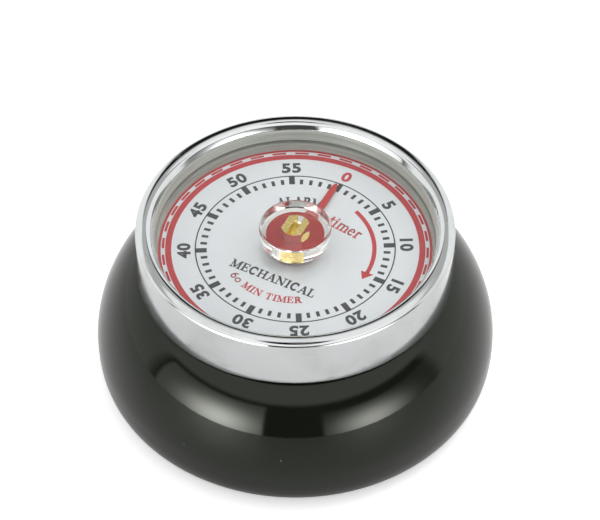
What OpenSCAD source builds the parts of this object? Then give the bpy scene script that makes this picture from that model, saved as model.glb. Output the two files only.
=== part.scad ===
// Mechanical sixty-minute kitchen timer: bun-shaped case, bright bezel, flat lens,
// clear knob on a slotted arbor, and a spring-driven movement with bell.
// Millimetres, +Z up, origin at the centre of the face it rests on.

/* [Case] */
// Widest diameter of the case
case_d = 70; // [69:0.5:72]
// Height of the widest point above the resting face
case_widest_z = 8.4; // [7.5:0.1:9.5]
// Height of the shoulder under the bezel
shoulder_z = 24.8; // [24.6:0.1:25]
// Outer diameter of the case's lower edge
case_foot_d = 58.4; // [58:0.2:61]
// Wall thickness of the case
wall = 1; // [0.8:0.1:1.2]

/* [Bezel and lens] */
// Outer diameter of the bezel
bezel_d = 55.3; // [54.5:0.1:56.5]
// Height of the bezel's lower edge
bezel_z = 24.9; // [24.85:0.05:25.2]
// Height of the bezel's crown
bezel_top = 34.6; // [34.4:0.1:35]
// Diameter of the bezel's bore
bezel_bore_d = 50.1; // [50.1:0.05:50.3]
// Upper face of the lens
lens_top = 31.1; // [31:0.05:31.2]
// Thickness of the lens
lens_t = 1; // [0.8:0.1:1.1]

/* [Dial and knob] */
// Upper face of the dial
dial_top = 28.65; // [28.6:0.05:28.8]
// Thickness of the dial plate
dial_t = 0.4; // [0.3:0.05:0.5]
// Clockwise angle from the far side at which the hand rests
rest_angle = 26.2; // [20:0.2:32]
// Distance from the axis to the hand's tip
hand_reach = 16.5; // [14:0.1:17]
// Diameter of the knob
knob_d = 12.7; // [11:0.1:14]
// Height of the knob's top
knob_top = 34.8; // [34.6:0.1:36]
// Radius of the arbor's head, which carries the hand and the knob
head_r = 2.45; // [2.3:0.05:2.5]
// Width of the head across its flats
head_flats = 3.8; // [3.4:0.1:4]
// Width of the screwdriver slot in the head
slot_w = 1.25; // [0.8:0.05:1.3]

/* [Movement] */
// Radius of both movement plates
plate_r = 23.6; // [23.4:0.1:23.7]
// Underside of the front plate
front_plate_z = 18.9; // [18.9:0.1:19.1]
// Thickness of the plates
plate_t = 1; // [0.9:0.05:1]
// Radius of the setting arbor
arbor_r = 2; // [1.9:0.05:2.1]
// Running clearance of every bearing, on the radius
running_gap = 0.04; // [0.02:0.01:0.08]

/* [Gear train] */
// Teeth of each pinion
pinion_teeth = 8; // [8:1:9]
// Teeth of the main, second and third wheels
wheel_teeth = [60, 56, 48]; // [46:1:62]
// Module of each mesh
mesh_module = [0.4, 0.35, 0.3]; // [0.28:0.01:0.41]
// Share of half a pitch that a tooth fills
tooth_fill = 0.88; // [0.8:0.01:0.92]
// Teeth of the escape wheel
escape_teeth = 18; // [15:1:20]
// Teeth of the ratchet wheel
ratchet_teeth = 20; // [18:1:24]

/* [Hidden] */
$fn = 96;
pressure_angle = 20;
case_r = case_d / 2;
foot_r = case_foot_d / 2;
bezel_r = bezel_d / 2;
bore_r = bezel_bore_d / 2;
cover_z = 0.3;              // underside of the base cover
cover_t = 1.2;
cover_r = 28.1;
shell_z = 0.4;              // lower edge of the case
collar_r = bore_r - 0.1;    // the bezel slips over this collar
collar_top = 27.4;
flange_r = 24;              // opening that the movement goes in through
flange_z = cover_z + cover_t;
base_screw_ring = 25.6;
base_screw_angles = [90, 210, 330];
knob_z = lens_top + 0.25;
knob_disc_r = 5.05;
knob_disc_z = lens_top + 0.08;
knob_disc_t = 0.14;
dial_hole_r = 2.8;
lens_hole_r = 2.75;
wall_foot_r = 23.75;        // the grey wall narrows to this radius at the dial
carrier_z = 25.6;
boss_ring = 20;
boss_angles = [20, 120, 240];
pillar_ring = 21.6;
pillar_angles = [80, 160, 267, 330];
pivot_r = 0.5;
staff_r = 0.9;
back_plate_z = 7;           // underside of the back plate
back_top = back_plate_z + plate_t;
front_top = front_plate_z + plate_t;

// Places of the staffs, each a mesh distance from the one before
second_dir = 200;
third_dir = -60;
escape_dir = -8;
pallet_dir = 20;
function polar(r, a) = [r * cos(a), r * sin(a)];
function mesh_distance(i) = mesh_module[i] * (wheel_teeth[i] + pinion_teeth) / 2;
second_at = polar(mesh_distance(0), second_dir);
third_at = second_at + polar(mesh_distance(1), third_dir);
escape_at = third_at + polar(mesh_distance(2), escape_dir);
pallet_reach = 6.6;
pallet_at = escape_at + polar(pallet_reach, pallet_dir);
hammer_at = [14, 8];
hammer_reach = 8;
hammer_dir = -74;
follower_reach = 7;
follower_dir = 45;
spring_post_at = polar(11, 100);

// Levels of the wheels
main_z = 12.8;
main_t = 1.2;
ratchet_z = main_z + main_t;
ratchet_t = 0.6;
third_z = 15.1;
third_t = 0.7;
second_z = 16.2;
second_t = 0.8;
cam_z = 17.4;
cam_t = 0.8;
escape_z = 10;
escape_t = 0.7;
stop_z = 20.4;
stop_ring = 8.5;
stop_blocked = 8;           // degrees of a full turn that the stop takes away

// ---- shared shapes ----

// Quarter of a rounded-square curve from [r0, z0] to [r1, z1]; power sets its fullness
function shoulder(r0, z0, r1, z1, power, steps) =
    [for (i = [0:steps]) let (a = 90 * i / steps)
        [r0 + (r1 - r0) * pow(sin(a), 2 / power),
         z1 + (z0 - z1) * pow(cos(a), 2 / power)]];

// Points of an arc about a centre
function arc(centre, r, from, to, steps) =
    [for (i = [0:steps]) let (a = from + (to - from) * i / steps) centre + polar(r, a)];

function reverse(list) = [for (i = [len(list) - 1:-1:0]) list[i]];

// Involute angle, in degrees
function involute(a) = tan(a) * 180 / PI - a;

// Half the angle that a tooth spans at radius r
function half_tooth(n, m, r) =
    let (base_r = n * m / 2 * cos(pressure_angle))
    90 * tooth_fill / n + involute(pressure_angle) - involute(r > base_r ? acos(base_r / r) : 0);

// Outline of a gear through the given flank radii, with a tooth centred on phase
function gear_points(n, m, radii, phase) =
    [for (i = [0:n - 1], side = [-1, 1])
        for (r = side < 0 ? radii : reverse(radii))
            polar(r, phase + 360 * i / n + side * half_tooth(n, m, r))];

function wheel_radii(n, m) = let (p = n * m / 2) [p - 1.25 * m, p, p + 0.5 * m];
function pinion_radii(n, m) =
    let (p = n * m / 2) [p - 0.75 * m, p * cos(pressure_angle), p + 0.4 * m, p + m];

module ring(outer_r, inner_r, z, t) {
    translate([0, 0, z])
        difference() {
            cylinder(r = outer_r, h = t);
            translate([0, 0, -1]) cylinder(r = inner_r, h = t + 2);
        }
}

module at(place, z) {
    translate([place[0], place[1], z]) children();
}

module wheel(place, n, m, z, t, bore, phase, windows, window_r, window_ring) {
    at(place, z)
        difference() {
            linear_extrude(t) polygon(gear_points(n, m, wheel_radii(n, m), phase));
            translate([0, 0, -1]) cylinder(r = bore, h = t + 2);
            for (i = [0:windows - 1])
                rotate(360 * i / windows + 12)
                    translate([window_ring, 0, -1]) cylinder(r = window_r, h = t + 2);
        }
}

// Staff with a cut pinion, turning between the plates on two thin pivots
module pinion_staff(place, m, z, t, phase) {
    at(place, back_plate_z) cylinder(r = pivot_r, h = front_top - back_plate_z);
    at(place, back_top + 0.1) cylinder(r = staff_r, h = front_plate_z - back_top - 0.2);
    at(place, z)
        linear_extrude(t)
            polygon(gear_points(pinion_teeth, m, pinion_radii(pinion_teeth, m), phase));
}

// Pan-head screw, head downwards, with a straight slot
module screw(head_r, head_t, shank_r, length) {
    difference() {
        cylinder(r = head_r, h = head_t);
        translate([-head_r, -0.25, -1]) cube([2 * head_r, 0.5, 1 + head_t * 0.5]);
    }
    translate([0, 0, head_t]) cylinder(r = shank_r, h = length);
}

// Flat bar with round ends between two points
module link(a, b, half_width, t) {
    d = b - a;
    at(a, 0) cylinder(r = half_width, h = t, $fn = 48);
    at(b, 0) cylinder(r = half_width, h = t, $fn = 48);
    at(a, 0)
        rotate(atan2(d[1], d[0]))
            translate([0, -half_width, 0]) cube([norm(d), 2 * half_width, t]);
}

// ---- base ----

module base_cover() {
    color("#1d1d1c")
        difference() {
            translate([0, 0, cover_z]) cylinder(r = cover_r, h = cover_t);
            translate([0, 0, -1]) cylinder(r = 12.85, h = 4);
            ring(22.55, 19.45, -1, 1.7);
            for (a = base_screw_angles)
                at(polar(base_screw_ring, a), 0) {
                    translate([0, 0, -1]) cylinder(r = 1.7, h = 2);
                    cylinder(r = 0.95, h = 4);
                }
        }
}

module foot_ring() {
    color("#2a2a2a") ring(22.5, 19.5, 0, 0.7);
}

module magnet() {
    color("#3b3b3d") cylinder(r = 12, h = 2.4);
}

module magnet_cup() {
    color("silver")
        difference() {
            translate([0, 0, 0.1]) cylinder(r = 12.8, h = 2.8);
            translate([0, 0, -1]) cylinder(r = 12, h = 3.4);
        }
}

module base_screws() {
    color("silver")
        for (a = base_screw_angles)
            at(polar(base_screw_ring, a), 0.35) screw(1.6, 0.65, 0.85, 3.6);
}

// ---- case ----

module body_shell() {
    outer = concat(
        shoulder(foot_r, shell_z, case_r, case_widest_z, 2.9, 14),
        reverse(shoulder(collar_r - 0.4, shoulder_z, case_r, case_widest_z, 1.78, 18)));
    inner = concat(
        shoulder(foot_r - wall, shell_z, case_r - wall, case_widest_z, 2.9, 14),
        reverse(shoulder(collar_r - wall - 0.1, shoulder_z - wall, case_r - wall,
            case_widest_z, 1.78, 18)));
    color("#191a18")
        difference() {
            union() {
                rotate_extrude()
                    polygon(concat(outer, [[collar_r, shoulder_z], [collar_r, collar_top],
                        [collar_r - wall, collar_top]], reverse(inner)));
                // inward flange with three screw bosses
                ring(33, flange_r, flange_z, 1);
                for (a = base_screw_angles)
                    at(polar(base_screw_ring + 0.6, a), flange_z + 1) cylinder(r = 2.2, h = 2.8);
            }
            for (a = base_screw_angles)
                at(polar(base_screw_ring, a), 0) cylinder(r = 0.85, h = 5);
        }
}

module bezel() {
    edge = 1.15;            // radius of the outer corner
    crown = bezel_r - edge;
    color("#c9cbcc")
        rotate_extrude()
            polygon(concat(
                [[bore_r, bezel_z], [bezel_r - 0.25, bezel_z], [bezel_r, bezel_z + 0.25]],
                arc([crown, bezel_top - edge], edge, 0, 90, 10),
                [[crown - 0.35, bezel_top - 0.12], [crown - 1.35, bezel_top - 0.75]],
                arc([24.95, bezel_top - 1.25], 0.35, 65, 180, 6),
                [[24.6, bezel_top - 1.35], [bore_r, bezel_top - 1.35]]));
}

// Ring with a sloping bore, from low_r at its lower edge to high_r at its upper edge
module sloping_ring(low_r, high_r, z, t) {
    rotate_extrude()
        polygon([[bore_r - 0.03, z], [bore_r - 0.03, z + t], [high_r, z + t], [low_r, z]]);
}

module lens_retainer() {
    color("#8b8c86") sloping_ring(24.3, 24.5, lens_top, bezel_top - 1.35 - lens_top);
}

module lens() {
    color([0.85, 0.9, 0.92, 0.35]) ring(bore_r - 0.05, lens_hole_r, lens_top - lens_t, lens_t);
}

module dial_spacer() {
    color("#7d7e79") sloping_ring(wall_foot_r, 24.1, dial_top, lens_top - lens_t - dial_top);
}

module dial_plate() {
    color("#eceff0") ring(bore_r - 0.05, dial_hole_r, dial_top - dial_t, dial_t);
}

module dial_carrier() {
    color("#303030")
        difference() {
            union() {
                translate([0, 0, carrier_z])
                    cylinder(r = collar_r - wall - 0.1, h = dial_top - dial_t - carrier_z);
                translate([0, 0, collar_top])
                    cylinder(r = collar_r, h = dial_top - dial_t - collar_top);
                for (a = boss_angles)
                    at(polar(boss_ring, a), front_top) cylinder(r = 2.4, h = carrier_z - front_top);
            }
            cylinder(r = 3, h = 40);
            for (a = boss_angles)
                at(polar(boss_ring, a), 0) cylinder(r = 0.8, h = 25);
        }
}

// ---- movement frame ----

module movement_plate(z, centre_bore) {
    difference() {
        translate([0, 0, z]) cylinder(r = plate_r, h = plate_t);
        cylinder(r = centre_bore, h = 40);
        for (place = [second_at, third_at, escape_at, pallet_at])
            at(place, 0) cylinder(r = pivot_r + running_gap, h = 40);
        for (a = pillar_angles)
            at(polar(pillar_ring, a), 0) cylinder(r = 0.8, h = 40);
    }
}

module front_plate() {
    color("#c8b273")
        difference() {
            movement_plate(front_plate_z, 3);
            at(hammer_at, 0) cylinder(r = pivot_r + running_gap, h = 40);
            for (a = boss_angles)
                at(polar(boss_ring, a), 0) cylinder(r = 0.8, h = 40);
            at(polar(stop_ring, stop_pin_angle()), 0) cylinder(r = 0.26, h = 40);
        }
}

module back_plate() {
    color("#c8b273")
        difference() {
            movement_plate(back_plate_z, 2.4);
            at(hammer_at, 0) cylinder(r = staff_r + running_gap, h = 40);
            at(spring_post_at, 0) cylinder(r = 0.7, h = 40);
            for (side = [-1, 1])
                translate([0, side * 12, 0]) cylinder(r = 0.8, h = 40);
        }
}

module plate_pillars() {
    color("silver")
        for (a = pillar_angles)
            at(polar(pillar_ring, a), 0) {
                ring(1.5, 0.8, back_top, 4);
                translate([0, 0, back_top + 4])
                    cylinder(r = 1.5, h = front_plate_z - back_top - 4);
                translate([0, 0, front_plate_z]) cylinder(r = 0.8, h = plate_t + 1.4);
            }
}

module pillar_nuts() {
    color("silver")
        for (a = pillar_angles)
            at(polar(pillar_ring, a), front_top)
                difference() {
                    cylinder(r = 1.7, h = 1.2, $fn = 6);
                    translate([0, 0, -1]) cylinder(r = 0.8, h = 4);
                }
}

module pillar_screws() {
    color("silver")
        for (a = pillar_angles)
            at(polar(pillar_ring, a), back_plate_z - 0.8) screw(1.5, 0.8, 0.75, 4.2);
}

module carrier_screws() {
    color("silver")
        for (a = boss_angles)
            at(polar(boss_ring, a), front_plate_z - 0.8) screw(1.6, 0.8, 0.78, 5.5);
}

module front_bush() {
    color("goldenrod") ring(3, arbor_r + running_gap, front_plate_z - 0.3, plate_t + 0.5);
}

module back_bush() {
    color("goldenrod") ring(2.4, 1.5 + running_gap, back_plate_z, plate_t + 0.2);
}

// Centre of the stop pin: half the blocked angle clear of the arm on both sides
function stop_pin_angle() = 90 - rest_angle + stop_blocked / 2;

module stop_pin() {
    color("silver")
        at(polar(stop_ring, stop_pin_angle()), front_plate_z) cylinder(r = 0.25, h = 2.6);
}

module spring_post() {
    color("silver") at(spring_post_at, back_plate_z) cylinder(r = 0.7, h = 5.2);
}

// Strip wound outwards at a steady pitch, its last stretch running up to the post
module mainspring() {
    turns = 7;
    inner_r = 2.7;
    outer_r = 10;
    strip = 0.32;
    steps = turns * 28;
    end_angle = 100;
    function spiral(offset) =
        [for (i = [0:steps]) let (f = i / steps)
            polar(inner_r + (outer_r - inner_r) * f + offset, end_angle - 360 * turns * (1 - f))];
    color("#6f7887")
        translate([0, 0, 8.8]) {
            linear_extrude(3) polygon(concat(spiral(strip), reverse(spiral(0))));
            // eye that hooks over the post
            at(spring_post_at, 0)
                difference() {
                    cylinder(r = 1.05, h = 3, $fn = 48);
                    translate([0, 0, -1]) cylinder(r = 0.72, h = 5, $fn = 48);
                }
        }
}

// ---- bell and hammer ----

module bell_bridge() {
    color("silver")
        difference() {
            union() {
                translate([-4, -14, 4.9]) cube([8, 28, 0.7]);
                for (side = [-1, 1])
                    translate([-4, side * 12 - 2, 4.9]) cube([8, 4, back_plate_z - 4.9]);
                for (side = [-1, 1])
                    translate([0, side * 12, 4.9]) cylinder(r = 0.8, h = back_top - 4.7);
            }
            cylinder(r = 1, h = 10);
        }
}

module bell_spacer() {
    color("silver") ring(2.2, 1, 4.1, 0.8);
}

module bell() {
    flat_r = 16.2;
    rim_z = 6.7;
    color("#b9bcbe")
        rotate_extrude()
            polygon(concat([[1.05, 3.3]], arc([flat_r, rim_z], 3.4, -90, 0, 10),
                reverse(arc([flat_r, rim_z], 2.6, -90, 0, 10)), [[1.05, 4.1]]));
}

module bell_screw() {
    color("silver") translate([0, 0, 2.95]) screw(2.2, 0.35, 1, 2.3);
}

module hammer_arbor() {
    color("silver") {
        at(hammer_at, 5.7) cylinder(r = staff_r, h = front_plate_z - 0.1 - 5.7);
        at(hammer_at, front_plate_z - 0.1) cylinder(r = pivot_r, h = plate_t + 0.1);
        // tail that the leaf spring bears on
        translate([0, 0, back_top + 1]) link(hammer_at, hammer_at + polar(3, 100), 0.5, 1);
    }
}

// Lever whose round nose rides on the bell cam
module cam_follower() {
    color("silver")
        difference() {
            union() {
                translate([0, 0, cam_z])
                    link(hammer_at, polar(follower_reach, follower_dir), 0.6, cam_t);
                at(hammer_at, cam_z - 0.6) cylinder(r = 1.8, h = cam_t + 0.6);
            }
            at(hammer_at, 0) cylinder(r = staff_r, h = 40);
        }
}

module hammer_arm() {
    head_at = hammer_at + polar(hammer_reach, hammer_dir);
    color("silver")
        difference() {
            union() {
                translate([0, 0, 5.75]) link(hammer_at, head_at, 0.8, 0.7);
                for (place = [hammer_at, head_at])
                    at(place, 5.75) cylinder(r = 1.8, h = 0.7);
            }
            at(hammer_at, 0) cylinder(r = staff_r, h = 40);
            at(head_at, 0) cylinder(r = 1.1, h = 40);
        }
}

module hammer_head() {
    color("goldenrod")
        at(hammer_at + polar(hammer_reach, hammer_dir), 4.8) cylinder(r = 1.1, h = 1.9);
}

// Bent leaf on a post; the hammer staff's tail lifts against its free end
module hammer_spring() {
    bend = [17.3, 10.5];
    bend_r = 2.2;
    color("#6f7887") {
        at(bend + [bend_r, 0], back_top) cylinder(r = 0.8, h = 3.2);
        translate([0, 0, back_top + 0.4])
            linear_extrude(2.4)
                polygon(concat(arc(bend, bend_r + 0.1, 0, 180, 18),
                    reverse(arc(bend, bend_r - 0.1, 0, 180, 18))));
    }
}

// ---- setting arbor and what turns with it ----

// Flat-sided head of the arbor, or the socket that fits it
module double_d(z, h, extra) {
    intersection() {
        translate([0, 0, z]) cylinder(r = head_r + extra, h = h);
        rotate(90 - rest_angle)
            translate([-head_r - 1, -head_flats / 2 - extra, z])
                cube([2 * head_r + 2, head_flats + 2 * extra, h]);
    }
}

module main_arbor() {
    head_z = 27.5;
    neck_top = knob_z - 0.1;
    tip = knob_top - 0.05;
    slot_depth = 2;
    color("#b8963f")
        difference() {
            union() {
                translate([0, 0, 6.1]) cylinder(r = 1.5, h = 2.2);
                translate([0, 0, back_top + 0.3]) cylinder(r = arbor_r, h = head_z - back_top - 0.3);
                translate([0, 0, head_z]) cylinder(r = head_r, h = neck_top - head_z);
                translate([0, 0, main_z - 0.6]) cylinder(r = 3.2, h = 0.6);
                double_d(neck_top, tip - neck_top, 0);
            }
            // screwdriver slot in the tip
            rotate(90 - rest_angle)
                translate([-3, -slot_w / 2, tip - slot_depth]) cube([6, slot_w, 3]);
            // groove for the clip
            ring(2, 1.2, 6.35, 0.5);
        }
}

module arbor_clip() {
    color("silver")
        difference() {
            ring(2.8, 1.2, 6.4, 0.4);
            rotate(40) translate([0, -0.9, 6]) cube([4, 1.8, 2]);
        }
}

// Clear grip with a flat-sided socket through it
module knob() {
    r = knob_d / 2;
    flare = 0.45;           // the knob is this much wider at the top
    foot = r - flare;
    bevel = 0.15;
    rounding = 0.45;
    color([0.9, 0.9, 0.85, 0.4])
        difference() {
            rotate_extrude()
                polygon(concat([[0, knob_z], [foot - bevel, knob_z], [foot, knob_z + bevel]],
                    arc([r - rounding, knob_top - rounding], rounding, 0, 90, 8), [[0, knob_top]]));
            double_d(knob_z - 1, knob_top - knob_z + 2, 0.02);
        }
}

// Red backing washer under the foot of the knob
module knob_disc() {
    color("#c3352f")
        ring(knob_disc_r, head_r + 0.05, knob_disc_z, knob_disc_t);
}

module pointer() {
    hub_r = 4;
    hand_z = dial_top + 0.45;
    arm = [[3, 2.4], [6.5, 1.3], [9, 0.62], [hand_reach - 1.1, 0.55], [hand_reach, 0.2]];
    color("#c3352f")
        difference() {
            union() {
                translate([0, 0, hand_z]) cylinder(r = hub_r, h = 0.35);
                translate([0, 0, hand_z]) cylinder(r = 3.4, h = 0.8);
                rotate(90 - rest_angle)
                    translate([0, 0, hand_z])
                        linear_extrude(0.35)
                            polygon(concat(arm, [for (p = reverse(arm)) [p[0], -p[1]]]));
            }
            cylinder(r = head_r, h = 40);
        }
}

module main_wheel() {
    color("#c9a94c")
        wheel([0, 0], wheel_teeth[0], mesh_module[0], main_z, main_t, arbor_r, second_dir, 5, 2, 8.9);
}

// Saw teeth with their steep faces on the anticlockwise side
module ratchet_wheel() {
    tip_r = 4.4;
    root_r = 3.8;
    pitch = 360 / ratchet_teeth;
    color("#9a9ea3")
        translate([0, 0, ratchet_z])
            difference() {
                linear_extrude(ratchet_t)
                    polygon([for (i = [0:ratchet_teeth - 1], p = [[tip_r, 0], [root_r, 0.6]])
                        polar(p[0], click_tip_angle - 1.2 + pitch * i + p[1])]);
                translate([0, 0, -1]) cylinder(r = arbor_r, h = 4);
            }
}

click_tip_angle = 40;
click_tip_r = 3.95;
click_pivot = [0, 7.4];

module click_stud() {
    color("silver") {
        at(click_pivot, ratchet_z) cylinder(r = 0.6, h = 0.65);
        at(click_pivot, ratchet_z + 0.65) cylinder(r = 0.9, h = 0.2);
    }
}

module click() {
    tip = polar(click_tip_r, click_tip_angle);
    color("#9a9ea3")
        translate([0, 0, ratchet_z + 0.05])
            difference() {
                union() {
                    at(click_pivot, 0) cylinder(r = 1.25, h = 0.55, $fn = 48);
                    linear_extrude(0.55)
                        polygon([click_pivot + [-0.9, -0.8], polar(4.75, click_tip_angle + 16), tip,
                            polar(4.9, click_tip_angle + 0.5), click_pivot + [1.2, 0.3]]);
                }
                at(click_pivot, -1) cylinder(r = 0.64, h = 3);
            }
}

// Thin leaf riveted to the main wheel beside the click
module click_spring() {
    color("#6f7887")
        translate([0, 0, ratchet_z])
            linear_extrude(0.5)
                polygon(concat(arc([0, 0], 7.4, 20, 68, 12), reverse(arc([0, 0], 7.2, 20, 68, 12))));
}

// Round cam with one drop at the hand's rest position
module bell_cam() {
    cam_r = 6;
    color("silver")
        difference() {
            translate([0, 0, cam_z]) cylinder(r = cam_r, h = cam_t);
            cylinder(r = arbor_r, h = 40);
            rotate(follower_dir)
                translate([4.6, -1.4, cam_z - 1]) cube([3, 2.4, 3]);
        }
}

// Arm that meets the stop pin at both ends of the setting
module stop_arm() {
    color("silver")
        difference() {
            union() {
                translate([0, 0, stop_z]) cylinder(r = 3.4, h = 0.8);
                rotate(90 - rest_angle) translate([0, -0.32, stop_z]) cube([stop_ring + 0.8, 0.64, 0.8]);
            }
            cylinder(r = arbor_r, h = 40);
        }
}

// ---- going train ----

module second_arbor() {
    color("silver")
        pinion_staff(second_at, mesh_module[0], main_z - 0.4, main_t + 0.8,
            second_dir + 180 + 180 / pinion_teeth);
}

module second_wheel() {
    color("#c9a94c")
        wheel(second_at, wheel_teeth[1], mesh_module[1], second_z, second_t, staff_r, third_dir,
            5, 1.9, 5.6);
}

module third_arbor() {
    color("silver")
        pinion_staff(third_at, mesh_module[1], second_z - 0.2, second_t + 0.4,
            third_dir + 180 + 180 / pinion_teeth);
}

module third_wheel() {
    color("#c9a94c")
        wheel(third_at, wheel_teeth[2], mesh_module[2], third_z, third_t, staff_r, escape_dir, 5, 1.4, 4.1);
}

module escape_arbor() {
    color("silver")
        pinion_staff(escape_at, mesh_module[2], third_z - 0.3, third_t + 0.6,
            escape_dir + 180 + 180 / pinion_teeth);
}

module escape_wheel() {
    tip_r = 4.5;
    root_r = 3.5;
    pitch = 360 / escape_teeth;
    color("#c9a94c")
        at(escape_at, escape_z)
            difference() {
                linear_extrude(escape_t)
                    polygon([for (i = [0:escape_teeth - 1],
                            p = [[root_r, -5], [tip_r, -0.8], [tip_r, 0.8], [root_r, 1.5]])
                        polar(p[0], pitch * i + p[1])]);
                translate([0, 0, -1]) cylinder(r = staff_r, h = 4);
                for (i = [0:3])
                    rotate(90 * i) translate([2.2, 0, -1]) cylinder(r = 0.75, h = 4, $fn = 48);
            }
}

module pallet_arbor() {
    color("silver") {
        at(pallet_at, back_plate_z) cylinder(r = pivot_r, h = front_top - back_plate_z);
        at(pallet_at, back_top + 0.1) cylinder(r = staff_r, h = front_plate_z - back_top - 0.2);
    }
}

// Two-armed anchor; each arm ends in a pallet that stays clear of the tooth tips
module pallet_lever() {
    arm = [[4.6, 1.35], [4.95, 1.9], [4.35, 3.1], [3.5, 2.9], [3.85, 2.2]];
    color("#9a9ea3")
        at(pallet_at, escape_z)
            rotate(pallet_dir + 90)
                difference() {
                    union() {
                        cylinder(r = 1.7, h = escape_t);
                        linear_extrude(escape_t)
                            polygon(concat([[0, -1.4]], arm, [[0, 0.6]],
                                [for (p = reverse(arm)) [-p[0], p[1]]]));
                    }
                    translate([0, 0, -1]) cylinder(r = staff_r, h = 4);
                }
}

module inertia_bar() {
    color("#c9a94c")
        at(pallet_at, 16.4)
            rotate(pallet_dir + 55)
                difference() {
                    union() {
                        link([-5.2, 0], [5.2, 0], 0.7, 1);
                        cylinder(r = 1.8, h = 1.2);
                        for (side = [-1, 1])
                            translate([side * 5.2, 0, 0]) cylinder(r = 1.4, h = 1.2);
                    }
                    translate([0, 0, -1]) cylinder(r = staff_r, h = 4);
                }
}

base_cover();
foot_ring();
magnet();
magnet_cup();
base_screws();
body_shell();
bezel();
lens_retainer();
lens();
dial_spacer();
dial_plate();
dial_carrier();
carrier_screws();
front_plate();
back_plate();
plate_pillars();
pillar_nuts();
pillar_screws();
front_bush();
back_bush();
stop_pin();
spring_post();
mainspring();
bell_bridge();
bell_spacer();
bell();
bell_screw();
hammer_spring();
main_arbor();
arbor_clip();
knob();
knob_disc();
pointer();
main_wheel();
ratchet_wheel();
click_stud();
click();
click_spring();
bell_cam();
stop_arm();
second_arbor();
second_wheel();
third_arbor();
third_wheel();
escape_arbor();
escape_wheel();
pallet_arbor();
pallet_lever();
inertia_bar();
hammer_arbor();
cam_follower();
hammer_arm();
hammer_head();
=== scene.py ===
import math
import bmesh
import bpy
from mathutils import Matrix, Vector


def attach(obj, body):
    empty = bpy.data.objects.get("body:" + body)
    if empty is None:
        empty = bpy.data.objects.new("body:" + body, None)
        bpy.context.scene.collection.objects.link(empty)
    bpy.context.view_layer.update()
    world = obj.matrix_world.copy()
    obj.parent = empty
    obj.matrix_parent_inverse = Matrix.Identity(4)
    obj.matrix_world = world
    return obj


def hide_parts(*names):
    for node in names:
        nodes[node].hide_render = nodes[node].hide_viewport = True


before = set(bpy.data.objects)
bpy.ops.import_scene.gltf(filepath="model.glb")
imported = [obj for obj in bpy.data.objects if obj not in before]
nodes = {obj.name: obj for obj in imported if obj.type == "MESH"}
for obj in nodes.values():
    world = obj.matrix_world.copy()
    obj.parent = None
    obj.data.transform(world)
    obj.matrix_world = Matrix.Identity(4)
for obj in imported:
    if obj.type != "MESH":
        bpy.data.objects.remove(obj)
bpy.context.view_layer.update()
mm = 0.001
print("frame loaded:", len(nodes), "nodes")


# how the pieces are made; outlines are in millimetres

def addToScene(obj):
    bpy.context.scene.collection.objects.link(obj)


def link(obj, body, stands=()):
    addToScene(obj)
    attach(obj, body)
    if stands:
        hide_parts(*stands)


def smoothFaces(mesh, sharp=32):
    # edges that turn by more than the angle stay crisp
    for face in mesh.polygons:
        face.use_smooth = True
    mesh.set_sharp_from_angle(angle=math.radians(sharp))


def finishMesh(name, bm, material, sharp=32):
    bmesh.ops.remove_doubles(bm, verts=bm.verts, dist=0.0002)
    bmesh.ops.recalc_face_normals(bm, faces=bm.faces)
    bmesh.ops.scale(bm, vec=(mm, mm, mm), verts=bm.verts)
    mesh = bpy.data.meshes.new(name)
    bm.to_mesh(mesh)
    bm.free()
    smoothFaces(mesh, sharp)
    if material:
        mesh.materials.append(material)
    return bpy.data.objects.new(name, mesh)


def outline(corners, step=9, hold=0.03):
    # corners are (r, z) or (r, z, fillet); a fillet becomes an arc with a point close by on each
    # flat, which keeps the shading of the flats true
    points = []
    for i, corner in enumerate(corners):
        here = Vector(corner[:2])
        if len(corner) < 3:
            points.append(here)
            continue
        before = (Vector(corners[i - 1][:2]) - here).normalized()
        after = (Vector(corners[(i + 1) % len(corners)][:2]) - here).normalized()
        opening = before.angle(after)
        centre = here + (before + after).normalized() * corner[2] / math.sin(opening / 2)
        start = here + before * corner[2] / math.tan(opening / 2) - centre
        turn = math.pi - opening
        if before.cross(after) > 0:
            turn = -turn
        steps = max(2, round(abs(math.degrees(turn)) / step))
        points.append(centre + start + before * hold)
        for k in range(steps + 1):
            points.append(centre + Matrix.Rotation(turn * k / steps, 2) @ start)
        points.append(points[-1] + after * hold)
    return points


def arcPoints(centre, radius, start, end, steps):
    return [(centre[0] + radius * math.cos(math.radians(start + (end - start) * k / steps)),
             centre[1] + radius * math.sin(math.radians(start + (end - start) * k / steps)))
            for k in range(steps + 1)]


def turnLoop(bm, loop, segments=192, at=(0, 0)):
    # turns a closed outline round an upright axis
    rows = []
    for k in range(segments):
        a = 2 * math.pi * k / segments
        rows.append([bm.verts.new((at[0] + r * math.cos(a), at[1] + r * math.sin(a), z))
                     for r, z in loop])
    count = len(loop)
    for k in range(segments):
        row, following = rows[k], rows[(k + 1) % segments]
        for i in range(count):
            j = (i + 1) % count
            if loop[i][0] < 1e-6 and loop[j][0] < 1e-6:
                continue
            bm.faces.new([row[i], following[i], following[j], row[j]])


def turned(name, loop, material, segments=192, sharp=32, at=(0, 0)):
    bm = bmesh.new()
    turnLoop(bm, loop, segments, at)
    return finishMesh(name, bm, material, sharp)


def flatRing(piece):
    # outline of a flat ring with its four edges eased
    sides = ((piece["outerR"], piece["lowZ"]), (piece["outerR"], piece["topZ"]),
             (piece["holeR"], piece["topZ"]), (piece["holeR"], piece["lowZ"]))
    return outline([(r, z, piece["ease"]) for r, z in sides], 30)


def prism(bm, points, low, high):
    bottom = [bm.verts.new((x, y, low)) for x, y in points]
    top = [bm.verts.new((x, y, high)) for x, y in points]
    bm.faces.new(top)
    bm.faces.new(bottom[::-1])
    for i in range(len(points)):
        j = (i + 1) % len(points)
        bm.faces.new([bottom[i], bottom[j], top[j], top[i]])


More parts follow.
